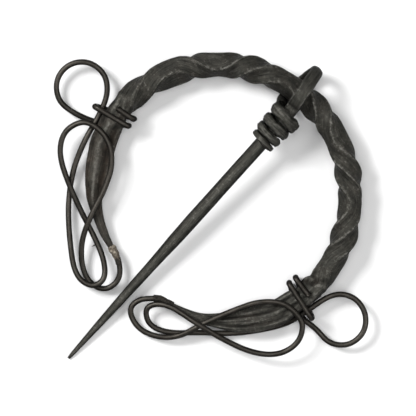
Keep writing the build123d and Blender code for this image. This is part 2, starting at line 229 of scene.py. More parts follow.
def length(name, description, default):
    """A size in metres that a user may change."""
    return bpy.props.FloatProperty(
        name=name,
        description=description,
        default=default,
        min=0,
        unit="LENGTH",
        subtype="DISTANCE",
    )


def power(name, description, default):
    """The power of a light that a user may change."""
    return bpy.props.FloatProperty(
        name=name, description=description, default=default, min=0, unit="POWER"
    )


def colour(name, description, default):
    """A colour that a user may change."""
    return bpy.props.FloatVectorProperty(
        name=name, description=description, default=default, size=3, min=0, max=1, subtype="COLOR"
    )


class HoopSizes(bpy.types.PropertyGroup):
    """Sizes of the forged hoop and its leaves."""

    radius: length("Hoop radius", "Middle line of the bar round the head", 35 * MM)
    bar: length("Bar size", "Side of the square bar", 5.6 * MM)
    leaf_length: length("Leaf length", "From the neck to the leaf's tip", 38.5 * MM)
    leaf_width: length("Leaf width", "Widest place of a leaf", 7.0 * MM)
    leaf_thickness: length("Leaf thickness", "Thickness where a leaf is widest", 2.4 * MM)
    neck_width: length("Neck width", "Neck under the binding, across", 5.5 * MM)
    neck_thickness: length("Neck thickness", "Neck under the binding, front to back", 5.2 * MM)
    left_tip_aside: length("Left tip aside", "How far the left tip lies outside its arc", 0.4 * MM)
    right_tip_aside: length("Right tip aside", "How far the right tip lies outside", 0.95 * MM)
    hammering: length("Hammering", "Depth of the hammer's flats and dents", 0.09 * MM)


class WireSizes(bpy.types.PropertyGroup):
    """Sizes of the scroll wires."""

    diameter: length("Wire diameter", "Round wire of the scrolls and bindings", 1.5 * MM)
    scroll_width: length("Scroll width", "From a leaf's middle line to the outer bends", 12 * MM)
    left_loop: length("Left loop radius", "Round loop beside the left neck", 6.75 * MM)
    right_loop: length("Right loop radius", "Round loop beside the right neck", 6.5 * MM)
    left_loop_along: length("Left loop along", "Place of the left loop", 0.75 * MM)
    right_loop_before: length("Right loop before", "Place of the right loop", 1.95 * MM)
    left_return: length("Left return", "Where the left wire passes under its neck", 5.6 * MM)
    right_return: length("Right return", "Where the right wire passes under its neck", 4.7 * MM)
    left_strand: length("Left strand end", "Where the left wire leaves its neck", 4.5 * MM)
    right_strand: length("Right strand end", "Where the right wire leaves its neck", 3.3 * MM)
    left_slack: length("Left binding slack", "Left binding's gap on the inner side", 0.8 * MM)
    right_slack: length("Right binding slack", "Right binding's gap on the inner side", 1.6 * MM)
    waver: length("Waver", "How unevenly the wire is drawn", 0.03 * MM)


class PinSizes(bpy.types.PropertyGroup):
    """Sizes of the pin."""

    pin_length: length("Pin length", "From its point to the bar in its eye", 93.6 * MM)
    shaft: length("Shaft diameter", "Thick end of the shaft", 3.65 * MM)
    point: length("Point diameter", "Blunt tip of the shaft", 0.7 * MM)
    taper: length("Taper length", "Stretch over which the shaft tapers", 49.3 * MM)
    eye_reach: length("Eye reach", "From the bar's middle to the strap's outer bend", 7.3 * MM)
    eye_lean: length("Eye lean", "How far the strap leans to the left", 3.1 * MM)
    strap_width: length("Strap width", "Width of the flattened strap", 3.65 * MM)
    strap_thickness: length("Strap thickness", "Thickness of the flattened strap", 2.3 * MM)
    coil: length("Coil length", "Length of the coil on the shaft", 10.2 * MM)


class FinishColours(bpy.types.PropertyGroup):
    """Colours of the iron, the wire and the braze."""

    # The scale colours also take painted shade, in hollows and on the sides of round bars, and the
    # worn iron takes painted highlights on raised relief and fronts.
    scale_dark: colour("Forge scale", "Dark scale in the hollows", (0.0105, 0.0103, 0.009))
    iron: colour("Oiled iron", "Blackened and oiled iron", (0.057, 0.0558, 0.0487))
    worn: colour("Worn iron", "Ridges rubbed bright", (0.165, 0.16, 0.145))
    rust: colour("Rust tint", "Thin red-brown rust on the leaves", (0.060, 0.040, 0.029))
    wire: colour("Wire", "Brownish drawn wire", (0.0415, 0.0375, 0.0325))
    wire_dark: colour("Wire scale", "Dark scale on the wire", (0.0105, 0.0095, 0.008))
    braze: colour("Braze", "Brassy filler metal", (0.27, 0.24, 0.195))
    tarnish: colour("Tarnish", "Dull brown tarnish on the braze", (0.085, 0.070, 0.055))


class StageSettings(bpy.types.PropertyGroup):
    """Floor, lights and camera."""

    floor: colour("Floor", "Pale plain floor", (0.70, 0.70, 0.70))
    key_power: power("Key power", "Power of the key light", 13.2)
    key_height: bpy.props.FloatProperty(
        name="Key height",
        description="Height of the key light over the floor",
        default=radians(46.5),
        unit="ROTATION",
    )
    key_size: length("Key size", "Side of the key light's panel", 0.34)
    top_power: power("Top power", "Power of the soft panel overhead", 6.8)
    side_power: power("Side power", "Power of the soft panel at the right", 0.8)
    room: bpy.props.FloatProperty(
        name="Room light", description="Even light of the white room", default=0.18, min=0
    )


# Tables


def eased(table, place):
    """The row of a table at a place in its first column, on curves that don't overshoot."""
    if place <= table[0][0]:
        return table[0][1:]
    if place >= table[-1][0]:
        return table[-1][1:]
    last = len(table) - 1
    low = max(number for number in range(last) if table[number][0] <= place)
    gap = table[low + 1][0] - table[low][0]
    share = (place - table[low][0]) / gap
    row = []
    for column in range(1, len(table[0])):
        slopes = []
        for knot in (low, low + 1):
            before = slope_between(table, max(knot - 1, 0), column)
            after = slope_between(table, min(knot, last - 1), column)
            flat = before * after <= 0
            slopes.append(0 if flat else 2 * before * after / (before + after))
        start, end = table[low][column], table[low + 1][column]
        square, cube = share**2, share**3
        row.append(
            start * (2 * cube - 3 * square + 1)
            + end * (3 * square - 2 * cube)
            + slopes[0] * gap * (cube - 2 * square + share)
            + slopes[1] * gap * (cube - square)
        )
    return tuple(row)


def slope_between(table, knot, column):
    """Slope of a table's column from one row to the next."""
    rise = table[knot + 1][column] - table[knot][column]
    return rise / (table[knot + 1][0] - table[knot][0])


def spaced(start, end, count):
    """Evenly spaced numbers from start to end, both included."""
    return [start + (end - start) * number / count for number in range(count + 1)]


# Hoop's middle line


def sizes(group):
    """The scene's values of one group."""
    return getattr(bpy.context.scene, group)


def of_side(side, left, right):
    """The value for one side of the brooch, side -1 for the left and 1 for the right."""
    return right if side > 0 else left


def neck_angle(side):
    """Heading where a leaf starts on the hoop, so that its scroll ends beside the pin."""
    hoop, wire, pin = sizes("brooch_hoop"), sizes("brooch_wire"), sizes("brooch_pin")
    along, aside = of_side(side, LEFT_BEND_PLACE, RIGHT_BEND_PLACE)
    bend = of_side(side, LEFT_LEAF_BEND, RIGHT_LEAF_BEND)
    turn = radians(of_side(side, LEFT_TURN_ANGLE, RIGHT_TURN_ANGLE))
    gap = of_side(side, LEFT_SCROLL_GAP, RIGHT_SCROLL_GAP)
    reach = pin.shaft / 2 - side * PIN_OFFSET + gap + wire.diameter / 2
    centre = (hoop.radius - bend) * sin(turn)
    bend_angle = 180 - degrees(asin((reach - centre) / (bend + aside * wire.scroll_width)))
    return bend_angle - degrees(along * hoop.leaf_length / bend)


def bar_point(angle):
    """Middle line of the bar at a heading in degrees, and the way outwards there."""
    radius = sizes("brooch_hoop").radius
    heading = radians(angle)
    outward = Vector((sin(heading), cos(heading), 0))
    if angle > RIGHT_TURN_ANGLE:
        turn, bend = radians(RIGHT_TURN_ANGLE), RIGHT_LEAF_BEND
    elif angle < -LEFT_TURN_ANGLE:
        turn, bend = radians(-LEFT_TURN_ANGLE), LEFT_LEAF_BEND
    else:
        turn, bend = heading, radius
    centre = Vector((sin(turn), cos(turn), 0)) * (radius - bend)
    return centre + outward * bend, outward


def leaf_heading(side, along):
    """Heading of the bar at a share of the leaf's length."""
    bend = of_side(side, LEFT_LEAF_BEND, RIGHT_LEAF_BEND)
    return side * (neck_angle(side) + degrees(along * sizes("brooch_hoop").leaf_length / bend))


def leaf_point(side, along, aside, height):
    """A point beside a leaf: place along it as a share, and distance outwards and up."""
    origin, outward = bar_point(leaf_heading(side, along))
    return origin + outward * aside + UP * height


def tip_aside(side):
    """How far the tip of a leaf lies outside the leaf's arc."""
    hoop = sizes("brooch_hoop")
    return of_side(side, hoop.left_tip_aside, hoop.right_tip_aside)


def eye_middle():
    """Middle of the bar in the pin's eye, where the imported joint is."""
    return Vector(frame["joints"][0]["pos_m"])


def head_height():
    """Height of the bar's middle line at the head, over the underside of the eye."""
    return eye_half_height() + sizes("brooch_pin").strap_thickness / 2


def eye_half_height():
    """Height of the strap's middle line over the bar's middle."""
    half_diagonal = sizes("brooch_hoop").bar / 2 * 2**0.5 * EYE_CORNER
    return half_diagonal + EYE_CLEARANCE + sizes("brooch_pin").strap_thickness / 2


def hoop_place():
    """Matrix that lays the hoop as it rests: tilted about the neck line, head in the eye."""
    hoop, wire = sizes("brooch_hoop"), sizes("brooch_wire")
    middle_angle = radians((neck_angle(-1) + neck_angle(1)) / 2)
    foot = -hoop.radius * cos(middle_angle) + (wire.left_return + wire.right_return) / 2
    neck_height = hoop.neck_thickness / 2 + WIRE_GAP + wire.diameter
    tilt = atan2(head_height() - neck_height, hoop.radius + foot)
    head = eye_middle() + Vector((PIN_OFFSET, 0, 0))
    head.y -= sqrt(hoop.radius**2 - PIN_OFFSET**2)
    head.z -= hoop.radius * sin(tilt)
    return Matrix.Translation(head) @ Matrix.Rotation(tilt, 4, "X")


def pin_place():
    """Matrix that lays the pin with its point on the floor and its eye round the bar."""
    pin = sizes("brooch_pin")
    slope = atan2(head_height() + SHAFT_RISE - pin.point / 2, pin.pin_length)
    return Matrix.Translation(eye_middle()) @ Matrix.Rotation(slope, 4, "X")


# Drawing bars


def swelling(share, middle, spread):
    """A smooth swelling: 1 in its middle, and falling away on both sides."""
    return exp(-(((share - middle) / spread) ** 2))


class Station:
    """One cross section of a bar: its middle, its two ways, its size and its corners."""

    def __init__(self, middle, across, up, width, thickness, corner, crisp=0.0, lumps=0.0):
        self.middle, self.across, self.up = middle, across, up
        self.width, self.thickness = width, thickness
        self.corner, self.crisp, self.lumps = corner, crisp, lumps
        self.form, self.share, self.along = "", 0.0, 0.0

    def outline(self, turn):
        """Point of the outline at a turn, as shares of the half sizes, and its wear.

        A soft section is a rounded square. A crisp one has flat sides, and corners worn flat.
        """
        c, s = cos(turn), sin(turn)
        power = log(0.5) / log(min(self.corner, SHARPEST_CORNER))
        soft = (abs(c) ** power + abs(s) ** power) ** (-1 / power)
        sharp = (abs(c) ** SQUARE_POWER + abs(s) ** SQUARE_POWER) ** (-1 / SQUARE_POWER)
        worn = self.corner * 2**0.5
        crisp = (sharp**-WORN_POWER + worn**-WORN_POWER) ** (-1 / WORN_POWER)
        reach = soft + (crisp - soft) * self.crisp
        wear = swelling(abs(c) - abs(s), 0, WORN_BAND) * min(1, (self.corner - 0.7) * 7)
        return c * reach, s * reach, wear


def lit_front_shaded_sides(height):
    """Painted light across a round bar: its front painted brighter, as a highlight, and its sides
    darker, towards the dark scale, as shade.
    """
    return 2 * max(0, height) ** 2 - 1.15


def draw_bar(name, stations, around, place, relief):
    """Draw a bar out through its stations: one ring of points, extruded, with closed ends.

    The mesh keeps three attributes: the point in the straight bar, in millimetres, how much a
    corner there is worn, and a value of painted light and shade: lighter where the relief stands
    up or a round bar faces front, partly wear, and darker in hollows and on sides, as shade.
    """
    bar = bmesh.new()
    straight = bar.verts.layers.float_vector.new("straight")
    ridge = bar.verts.layers.float.new("ridge")
    wear_and_shade = bar.verts.layers.float.new("wear_and_shade")
    turn = bar.verts.layers.float.new("turn")
    bmesh.ops.create_circle(bar, cap_ends=False, segments=around, radius=1)
    for vert in bar.verts:
        vert[turn] = atan2(vert.co.y, vert.co.x)
    ring, edges = list(bar.verts), list(bar.edges)
    first_edges = edges
    for number, station in enumerate(stations):
        if number:
            made = bmesh.ops.extrude_edge_only(bar, edges=edges)["geom"]
            ring = [item for item in made if isinstance(item, bmesh.types.BMVert)]
            members = set(ring)
            edges = [
                item
                for item in made
                if isinstance(item, bmesh.types.BMEdge) and members.issuperset(item.verts)
            ]
            station.along = stations[number - 1].along
            station.along += (station.middle - stations[number - 1].middle).length
        for vert in ring:
            x, y, wear = station.outline(vert[turn])
            vert[ridge] = wear * (0.35 if station.form else 0.3 + station.crisp)
            half_width, half_thickness = station.width / 2, station.thickness / 2
            vert[straight] = Vector((station.along, x * half_width, y * half_thickness)) / MM
            offset = station.across * (x * half_width) + station.up * (y * half_thickness)
            # The relief also gives a value of painted light and shade: lighter on raised parts and
            # fronts, darker in hollows and on sides.
            offset, vert[wear_and_shade] = relief(station, offset, x, y)
            vert.co = station.middle + offset
    bmesh.ops.holes_fill(bar, edges=first_edges + edges, sides=0)
    bmesh.ops.recalc_face_normals(bar, faces=bar.faces)
    bar.transform(place)
    for face in bar.faces:
        face.smooth = len(face.verts) == 4
    return made_object(name, bar)


def made_object(name, shape):
    """Make an object of a finished shape and put it in the scene."""
    mesh = bpy.data.meshes.new(name)
    shape.to_mesh(mesh)
    shape.free()
    made = bpy.data.objects.new(name, mesh)
    bpy.context.scene.collection.objects.link(made)
    return made


def finish_piece(piece, body, slot, finish, *nodes):
    """Give a piece its body, its finish and the nodes that it stands for. The slot is not used."""
    piece.data.materials.append(finish)
    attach(piece, body)
    if nodes:
        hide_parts(*nodes)


# Hoop


def hoop_stations():
    """Stations of the hoop from the left leaf's tip, round the head, to the right leaf's tip."""
    hoop, wire = sizes("brooch_hoop"), sizes("brooch_wire")
    left_end = neck_angle(-1) - degrees(LEFT_SHOULDER / LEFT_LEAF_BEND)
    right_end = neck_angle(1) - degrees(RIGHT_SHOULDER / RIGHT_LEAF_BEND)
    stations = []
    for side in (-1, 1):
        table = [(0.0, hoop.neck_width, hoop.neck_thickness, NECK_CORNER, 0.0)]
        for along, width, thickness, corner, left, right in LEAF:
            aside = of_side(side, left, right) * hoop.leaf_width
            size = width * hoop.leaf_width, thickness * hoop.leaf_thickness
            table.append((along, *size, corner, aside))
        table.append((1.0, wire.diameter, wire.diameter, CIRCLE_CORNER, tip_aside(side)))
        leaf = []
        for along in spaced(0, 1, LEAF_STEPS):
            width, thickness, corner, aside = eased(table, along)
            origin, outward = bar_point(leaf_heading(side, along))
            origin += outward * aside
            # The twist ends a quarter turn on, so the right leaf's width lies across its "up"
            left, right = (outward, UP, width, thickness), (-UP, outward, thickness, width)
            lumps = max(0, 1 - along / LEAF_LUMPS)
            station = Station(origin, *of_side(side, left, right), corner, 0.0, lumps)
            station.form, station.share = of_side(side, "left", "right"), along
            leaf.append(station)
        if side < 0:
            stations += reversed(leaf)
            for share in spaced(0, 1, TWIST_STEPS):
                origin, outward = bar_point(-left_end + (left_end + right_end) * share)
                turn, corner = eased(TWIST, share)
                turn = radians(turn - TWIST[0][1])
                across = outward * cos(turn) + UP * sin(turn)
                up = UP * cos(turn) - outward * sin(turn)
                crisp = TWIST_CRISP * min(1, share / CRISP_START, (1 - share) / CRISP_END)
                lumps = max(0, 1 - min(share, 1 - share) / TWIST_LUMPS)
                size = hoop.bar, hoop.bar
                stations.append(Station(origin, across, up, *size, corner, crisp, lumps))
        else:
            stations += shoulder(stations[-1], leaf[0], SHOULDER_STEPS) + leaf
    return stations


def shoulder(start, end, count):
    """Stations that pass evenly from one section to another, round the hoop."""
    stations = []
    for share in spaced(0, 1, count)[1:-1]:
        blend = share * share * (3 - 2 * share)
        corner = start.corner + (end.corner - start.corner) * blend
        width = start.width + (end.width - start.width) * blend
        thickness = start.thickness + (end.thickness - start.thickness) * blend
        # Nearly on the hoop's circle, and swelling mostly towards its inside
        middle = start.middle.lerp(end.middle, share)
        middle *= 1 + ((start.middle.length + end.middle.length) / 2 / middle.length - 1) * 0.9
        across = start.across.lerp(end.across, share).normalized()
        up = start.up.lerp(end.up, share).normalized()
        swell = SHOULDER_SWELL * sin(pi * share)
        middle -= up * swell * 0.4
        thickness += swell
        stations.append(Station(middle, across, up, width, thickness, corner, 0.0, 1.0))
    return stations


def uneven(station, x, y, along, around, shift=(0, 0, 0)):
    """Smooth unevenness of a bar's surface, from -1 to 1.

    The two numbers say how close together its marks lie along the bar and around it.
    """
    place = Vector((station.along / MM * along, x * around, y * around))
    return noise.noise(place + Vector(shift))


def forge_marks(station, offset, x, y):
    """Hammer marks on the hoop, the left leaf's middle ridge and the right leaf's grooves."""
    hoop = sizes("brooch_hoop")
    broad = uneven(station, x, y, 0.33, 2.0)
    fine = uneven(station, x, y, 0.9, 4.5, (0, 9, 0))
    finest = uneven(station, x, y, 2.2, 7.0, (0, 3, 0))
    lump = uneven(station, x, y, 0.55, 2.6, (0, 1, 7)) * station.lumps
    wrinkle = uneven(station, x, y, 1.2, 3.4, (5, 0, 2)) * station.lumps
    depth = (broad * 0.8 + fine * 0.45 + finest * 0.2) * hoop.hammering
    depth += lump * LUMP_HEIGHT + wrinkle * WRINKLE_HEIGHT
    offset = offset * (1 + depth / (hoop.bar / 2))
    # Painted light and shade over the relief: lumps and wrinkles that stand up are lighter, partly
    # wear, and their hollows darker, as painted shade.
    wear_and_shade = broad * 0.2 + fine * 0.45 + finest * 0.3 + lump * 1.8 + wrinkle * 1.2
    if station.form == "left" and x > 0:
        offset += station.across * (x * NECK_SWELL * swelling(station.share, 0.07, 0.045))
    if station.form == "left" and y > 0:
        fade = min(1, station.share / 0.12) * max(0, 1 - max(0, station.share - 0.6) / 0.2)
        hollow = swelling(x, -0.48, 0.24) + 0.6 * swelling(x, 0.78, 0.16)
        profile = fade * (swelling(x, 0.22, 0.22) - 0.9 * hollow)
        offset.z += RIDGE_HEIGHT * profile * (1 - abs(x) ** 6)
        # The middle ridge is painted lighter, as a highlight, and its hollows darker, as shade.
        wear_and_shade += profile * 1.7
    if station.form == "right" and x < 0:
        fade = min(1, station.share / 0.08) * max(0, 1 - max(0, station.share - 0.62) / 0.15)
        drift = 0.10 * sin(station.along / MM * 0.25)
        waves = 0.7 * cos((y + drift) * 2 * pi * 1.3) + 0.5 * cos((y - drift) * 2 * pi * 2.6 + 1)
        offset.z += fade * GROOVE_DEPTH * waves * (1 - abs(y) ** 6)
        # The grooves are painted darker, as shade, and the ridges between them lighter.
        wear_and_shade += fade * waves * 1.2
    return offset, wear_and_shade


# Scroll wires


def scroll_route(side):
    """Control points of a scroll wire from the leaf tip to its cut end."""
    hoop, wire = sizes("brooch_hoop"), sizes("brooch_wire")
    strand_end = of_side(side, wire.left_strand, wire.right_strand)
    loop_radius = of_side(side, wire.left_loop, wire.right_loop)
    loop_along = of_side(side, wire.left_loop_along, -wire.right_loop_before)
    return_along = of_side(side, wire.left_return, wire.right_return)
    inner_slack = of_side(side, wire.left_slack, wire.right_slack)
    step = wire.diameter + WIRE_GAP

    tip = leaf_point(side, 1.0, tip_aside(side), 0)
    heading = radians(leaf_heading(side, 1.0))
    onwards = Vector((cos(heading), -sin(heading), 0)) * side
    points = [tip, tip + onwards * TIP_RUN]
    for along, aside, height in of_side(side, LEFT_SCROLL, RIGHT_SCROLL):
        points.append(leaf_point(side, along, aside * wire.scroll_width, height * step))
    strand_side = hoop.neck_width / 2 + WIRE_GAP + wire.diameter / 2
    points.append(leaf_point(side, strand_end / hoop.leaf_length, strand_side, -STRAND_DROP))

    centre_aside = strand_side + LOOP_STANDOFF + loop_radius
    centre = leaf_point(side, loop_along / hoop.leaf_length, centre_aside, 0)
    outward = bar_point(leaf_heading(side, 0))[1]
    forwards = Vector((outward.y, -outward.x, 0)) * side
    reach = loop_radius / cos(radians(LOOP_STEP / 2))
    for number, height in enumerate(LOOP_HEIGHTS):
        turn = radians(LOOP_START + LOOP_STEP * number)
        spoke = outward * cos(turn) + forwards * sin(turn)
        bulge = of_side(side, 1.0, RIGHT_LOOP_BULGE[number])
        points.append(centre + spoke * reach * bulge + UP * height * step)

    face_height = hoop.neck_thickness / 2 + WIRE_GAP + wire.diameter / 2
    points.append(leaf_point(side, return_along / hoop.leaf_length, strand_side, -face_height))
    corners = [points[-1]]
    for along, neck_side, face in BINDING:
        if neck_side > 0:
            aside = strand_side + step + OUTER_BINDING_SLACK
        else:
            aside = -strand_side - inner_slack
        place = along * wire.diameter / hoop.leaf_length
        corners.append(leaf_point(side, place, aside, face * face_height))
    place = BINDING_END[0] * wire.diameter / hoop.leaf_length
    corners.append(leaf_point(side, place, BINDING_END[1] * wire.diameter, face_height))
    for before, corner, after in zip(corners, corners[1:], corners[2:]):
        arriving, leaving = (corner - before), (after - corner)
        setback = BINDING_CORNER * tan(arriving.angle(leaving) / 2) * BEND_EASE
        points.append(corner - arriving.normalized() * min(setback, arriving.length * BEND_SHARE))
        points.append(corner)
        points.append(corner + leaving.normalized() * min(setback, leaving.length * BEND_SHARE))
    points.append(corners[-1])
    return points


def smooth_line(points, steps):
    """Points of the smooth line that a NURBS spline draws through its control points' middle."""
    curve = bpy.data.curves.new("route", "CURVE")
    curve.dimensions = "3D"
    curve.resolution_u = steps
    spline = curve.splines.new("NURBS")
    spline.points.add(len(points) - 1)
    for control, point in zip(spline.points, points):
        control.co = (*point, 1)
    spline.order_u = 3
    spline.use_endpoint_u = True
    holder = bpy.data.objects.new("route", curve)
    mesh = bpy.data.meshes.new_from_object(holder)
    line = [vert.co.copy() for vert in mesh.vertices]
    bpy.data.objects.remove(holder)
    bpy.data.curves.remove(curve)
    bpy.data.meshes.remove(mesh)
    return line


def wire_stations(line, diameter):
    """Stations of a round wire along a line, turned as little as the line allows."""
    stations = []
    across = (line[1] - line[0]).normalized().orthogonal().normalized()
    for number, point in enumerate(line):
        before, after = line[max(number - 1, 0)], line[min(number + 1, len(line) - 1)]
        onwards = (after - before).normalized()
        across = (across - onwards * across.dot(onwards)).normalized()
        up = onwards.cross(across)
        stations.append(Station(point, across, up, diameter, diameter, CIRCLE_CORNER))
    # Bevel both cut ends: a thinner section at the end, and a full one just inside it
    for end, inner, place in ((0, 1, 1), (-1, -2, len(stations))):
        cut = stations[end]
        inwards = (line[inner] - line[end]).normalized() * CUT_BEVEL
        shape = cut.across, cut.up, diameter, diameter, CIRCLE_CORNER
        stations.insert(place, Station(cut.middle + inwards, *shape))
        if end < 0:
            stations[-1], stations[-2] = stations[-2], stations[-1]
        cut.width = cut.thickness = diameter * CUT_END
    return stations


def braze_stations(side):
    """Stations of the braze over the joint of a leaf tip and its wire."""
    hoop, wire = sizes("brooch_hoop"), sizes("brooch_wire")
    line = smooth_line(scroll_route(side)[:BRAZE_POINTS], BRAZE_LINE_STEPS)
    table = of_side(side, LEFT_BRAZE, RIGHT_BRAZE)
    middles = []
    for beyond in spaced(table[0][0] * MM, table[-1][0] * MM, BRAZE_STEPS):
        if beyond < 0:
            middles.append(leaf_point(side, 1 + beyond / hoop.leaf_length, tip_aside(side), 0))
            continue
        walked = 0.0
        for start, end in zip(line, line[1:]):
            run = (end - start).length
            if walked + run >= beyond:
                middles.append(start.lerp(end, (beyond - walked) / run))
                break
            walked += run
    stations = []
    for number, middle in enumerate(middles):
        onwards = middles[min(number + 1, BRAZE_STEPS)] - middles[max(number - 1, 0)]
        across = UP.cross(onwards.normalized()).normalized()
        beyond = table[0][0] + (table[-1][0] - table[0][0]) * number / BRAZE_STEPS
        (reach,) = eased(table, beyond)
        size = wire.diameter * reach
        up = onwards.normalized().cross(across)
        stations.append(Station(middle, across, up, size, size, CIRCLE_CORNER))
    return stations


def burr_stations():
    """Stations of the small burr on the left scroll."""
    wire = sizes("brooch_wire")
    start_along, start_aside, end_along, end_aside, size = BURR
    start = leaf_point(-1, start_along, start_aside * wire.scroll_width, -0.1 * MM)
    end = leaf_point(-1, end_along, end_aside * wire.scroll_width, 0.1 * MM)
    across = UP.cross((end - start).normalized())
    stations = []
    for share in spaced(0, 1, BURR_STEPS):
        # Thinner towards its tip, and bent a little
        thick = size * (2.6 - 1.9 * share)
        point = start.lerp(end, share) - across * 0.25 * MM * share * share
        stations.append(Station(point, across, UP, thick, thick, CIRCLE_CORNER))
    return stations


def melted(station, offset, x, y):
    """Lumps of braze that froze as it ran."""
    lumps = uneven(station, x, y, 0.7, 1.2, (0, 4, 0))
    beads = uneven(station, x, y, 1.8, 2.6, (0, 8, 0))
    return offset * (1 + 0.20 * lumps + 0.16 * beads), lumps + beads


def drawn_wire(station, offset, x, y):
    """Slight unevenness of wire that was bent by hand, with painted light across it: its top
    lighter and its sides darker.
    """
    wire = sizes("brooch_wire")
    wavering = uneven(station, x, y, 0.25, 1.4) * wire.waver
    # The wire's top is painted lighter, as a highlight, and its sides darker, as shade.
    return offset * (1 + wavering / (wire.diameter / 2)), lit_front_shaded_sides(offset.normalized().z)


# Pin


def pin_stations():
    """Stations of the pin along its length, seen from the bar's middle in its eye."""
    pin = sizes("brooch_pin")
    # Rows: middle, way up, width, thickness, reach of the corners, crispness and lumps
    rough = []
    for share in spaced(0, 1, TAPER_STEPS):
        (growth,) = eased(TAPER, share)
        diameter = pin.point + (pin.shaft - pin.point) * growth
        point = Vector((0, share * pin.taper - pin.pin_length, SHAFT_RISE))
        rough.append((point, UP, diameter, diameter, CIRCLE_CORNER, 0.0, 0.0))
    for distance in spaced(pin.pin_length - pin.taper - TAPER_GAP, COIL_START, SHAFT_STEPS):
        point = Vector((0, -distance, SHAFT_RISE))
        rough.append((point, UP, pin.shaft, pin.shaft, CIRCLE_CORNER, 0.0, 0.0))
    loop = []
    for along, height, lean, thickness in EYE:
        point = Vector((-lean * pin.eye_lean, along * pin.eye_reach, height * eye_half_height()))
        facing = Vector((0, point.y, point.z)).normalized()
        # The strap gets narrower and rounder towards its outer bend
        outer = max(0, along - 0.3) / 0.67
        width = pin.strap_width * (1 - 0.05 * outer)
        shape = width, thickness * pin.strap_thickness, 0.86 - 0.14 * outer
        loop.append((point, facing, *shape, 0.75 * (1 - outer), 0.25))
    coil = []
    for turns in spaced(COIL[0][0], COIL[-1][0], COIL_STEPS):
        place, thickness, width = eased(COIL, turns)
        thickness *= pin.strap_thickness
        facing = Vector((-cos(2 * pi * turns), 0, sin(2 * pi * turns)))
        axis = Vector((0, -COIL_START - place * pin.coil, SHAFT_RISE))
        middle = axis + facing * (pin.shaft / 2 + COIL_GAP + thickness / 2)
        coil.append((middle, facing, width * pin.strap_width, thickness, 0.75, 0.0, 1.0))
    # The strap runs smoothly out of the shaft and into the coil
    rough += through([rough[-6], rough[-1]] + loop + [coil[0], coil[4]], EYE_LINE_STEPS)
    rough += coil
    stations = []
    for number, (point, facing, *shape) in enumerate(rough):
        before = rough[max(number - 1, 0)][0]
        after = rough[min(number + 1, len(rough) - 1)][0]
        onwards = (after - before).normalized()
        across = onwards.cross(facing).normalized()
        up = across.cross(onwards)
        stations.append(Station(point, across, up, *shape))
    return stations


def through(rows, steps):
    """Rows between the second and the second last, on smooth curves through each row."""
    made = []
    for first, start, end, last in zip(rows, rows[1:], rows[2:], rows[3:]):
        for number in range(1, steps + 1):
            share = number / steps
            square, cube = share**2, share**3
            weights = (
                (-cube + 2 * square - share) / 2,
                (3 * cube - 5 * square + 2) / 2,
                (-3 * cube + 4 * square + share) / 2,
                (cube - square) / 2,
            )
            row = []
            for values in zip(first, start, end, last):
                total = values[0] * weights[0]
                for value, weight in zip(values[1:], weights[1:]):
                    total = total + value * weight
                row.append(total)
            made.append(tuple(row))
    return made[:-1]


def forged_shaft(station, offset, x, y):
    """Faint lengthwise flats on the shaft, and hammer marks on the strap and its coil, with
    painted light and shade over them.
    """
    pin = sizes("brooch_pin")
    grown = min(1, station.along / SMOOTH_TIP)
    flats = cos(8 * atan2(y, x) + 0.6 * sin(station.along / MM * 0.11)) * 0.010
    flats *= grown * (1 - min(1, station.lumps * 4))
    broad = uneven(station, x, y, 0.22, 1.5)
    fine = uneven(station, x, y, 0.8, 4.0, (0, 5, 0))
    dent = uneven(station, x, y, 0.42, 1.8, (0, 3, 2))
    chip = uneven(station, x, y, 1.1, 3.1, (20, 0, 4))
    depth = (broad * 0.7 + fine * 0.3) * 0.05 * grown
    depth += (dent * 0.42 + fine * 0.14 + chip * 0.30) * station.lumps
    # Painted light and shade: hammer marks that stand up are painted lighter and dents darker,
    # partly wear.
    wear_and_shade = fine * 0.5 + (dent * 0.9 + chip * 0.9) * station.lumps
    if not station.lumps:
        # Shaft: its top painted lighter, as a highlight, and its sides darker, as shade.
        wear_and_shade += 1.3 * lit_front_shaded_sides(y) - 0.25
    elif station.lumps < 1:
        # Strap: the inside of its loop round the bar painted darker, as shade.
        wear_and_shade += 1.3 * min(0, y)
    else:
        # Coil: each turn's outer face painted lighter, as a highlight, and the gaps between the
        # turns darker, as shade.
        wear_and_shade += 0.9 * lit_front_shaded_sides(y) + 0.35 + chip * 0.8
    return offset * (1 + flats + depth * MM / (pin.shaft / 2)), wear_and_shade


# Finishes


class Channel:
    """A value that varies over a surface. Arithmetic on it adds Math nodes to its finish."""

    def __init__(self, finish, socket):
        self.finish, self.socket = finish, socket

    def combine(self, operation, *values):
        """Put values through a Math node."""
        sockets = dict(enumerate(values))
        return self.finish.node("ShaderNodeMath", {"operation": operation}, sockets)

    def __add__(self, other):
        return self.combine("ADD", self, other)

    def __radd__(self, other):
        return self.combine("ADD", other, self)

    def __sub__(self, other):
        return self.combine("SUBTRACT", self, other)

    def __rsub__(self, other):
        return self.combine("SUBTRACT", other, self)

    def __mul__(self, other):
        return self.combine("MULTIPLY", self, other)

    def __rmul__(self, other):
        return self.combine("MULTIPLY", other, self)

    def clamped(self, low, high):
        """0 at low, 1 at high, straight between them and clamped."""
        inputs = {0: self, 1: low, 2: high}
        return self.finish.node("ShaderNodeMapRange", {"clamp": True}, inputs)


